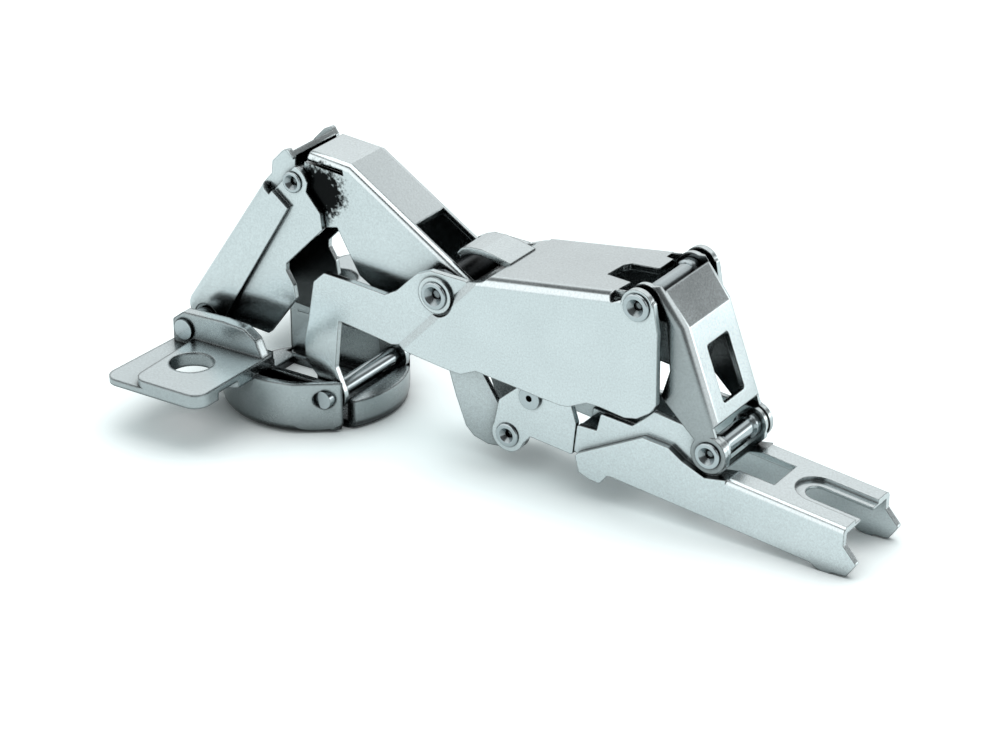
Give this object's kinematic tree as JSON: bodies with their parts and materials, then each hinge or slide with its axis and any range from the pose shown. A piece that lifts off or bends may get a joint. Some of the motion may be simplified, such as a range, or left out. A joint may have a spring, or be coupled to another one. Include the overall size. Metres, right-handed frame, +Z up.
{
  "type": "concealed cup hinge",
  "caption": "Half-open wide-angle concealed cabinet hinge: round cup with screw wings, crossed levers, arm and slotted base.",
  "frame": {"origin": "on the surface it lies on, under the centre of the 35 mm cup", "axes": "+X from the cup towards the base arm's slotted end, +Y along the pins, +Z up from the surface"},
  "size_m": [0.1403, 0.067, 0.0515],
  "materials": {
    "nickel": "bright nickel plate, slightly cool",
    "zinc": "die cast, plated, a little duller",
    "steel": "plain steel pins",
    "spring": "dark spring steel"
  },
  "bodies": {
    "base": {"base_arm": "nickel", "base_pin": "steel", "base_bush": "steel", "front_carrier": "nickel", "front_pin": "steel", "front_bush": "spring", "carrier_rivets": "steel"},
    "lever": {"upper_lever": "nickel", "crown_pin": "steel"},
    "arm": {"middle_arm": "nickel", "arm_pin": "steel", "arm_washers": "nickel", "spring_near": "spring", "spring_far": "spring", "spring_sleeve": "spring"},
    "link": {"window_link": "nickel", "elbow_pin": "steel", "elbow_bush": "steel"},
    "crown_link": {"cup_link": "nickel", "cup_link_bush": "steel"},
    "cup_body": {"cup": "zinc", "cup_rod": "steel", "cup_pins": "steel"}
  },
  "joints": [
    {"name": "main_fold", "type": "hinge", "parent": "base", "child": "lever", "pos_m": [0.0472, 0, 0.0074], "axis": [0, 1, 0], "range_deg": [-30, 85]},
    {"name": "arm_pivot", "type": "hinge", "parent": "lever", "child": "arm", "pos_m": [0.0343, 0, 0.0326], "axis": [0, 1, 0], "range_deg": [-85.1, 30.1]},
    {"name": "link_pivot", "type": "hinge", "parent": "base", "child": "link", "pos_m": [0.0883, 0, 0.0155], "axis": [0, 1, 0], "range_deg": [-30, 84.6]},
    {"name": "crown_pivot", "type": "hinge", "parent": "lever", "child": "crown_link", "pos_m": [0.0012, 0, 0.0452], "axis": [0, 1, 0], "range_deg": [-78.8, 27.9]},
    {"name": "cup_pivot", "type": "hinge", "parent": "arm", "child": "cup_body", "pos_m": [0.0111, 0, 0.0068], "axis": [0, 1, 0], "range_deg": [-33.9, 95.9]}
  ],
  "couplings": [
    {"joint": "arm_pivot", "follows": "main_fold", "ratio": -1},
    {"joint": "link_pivot", "follows": "main_fold", "ratio": 0.9936},
    {"joint": "crown_pivot", "follows": "main_fold", "ratio": -0.925},
    {"joint": "cup_pivot", "follows": "main_fold", "ratio": 1.1265}
  ]
}
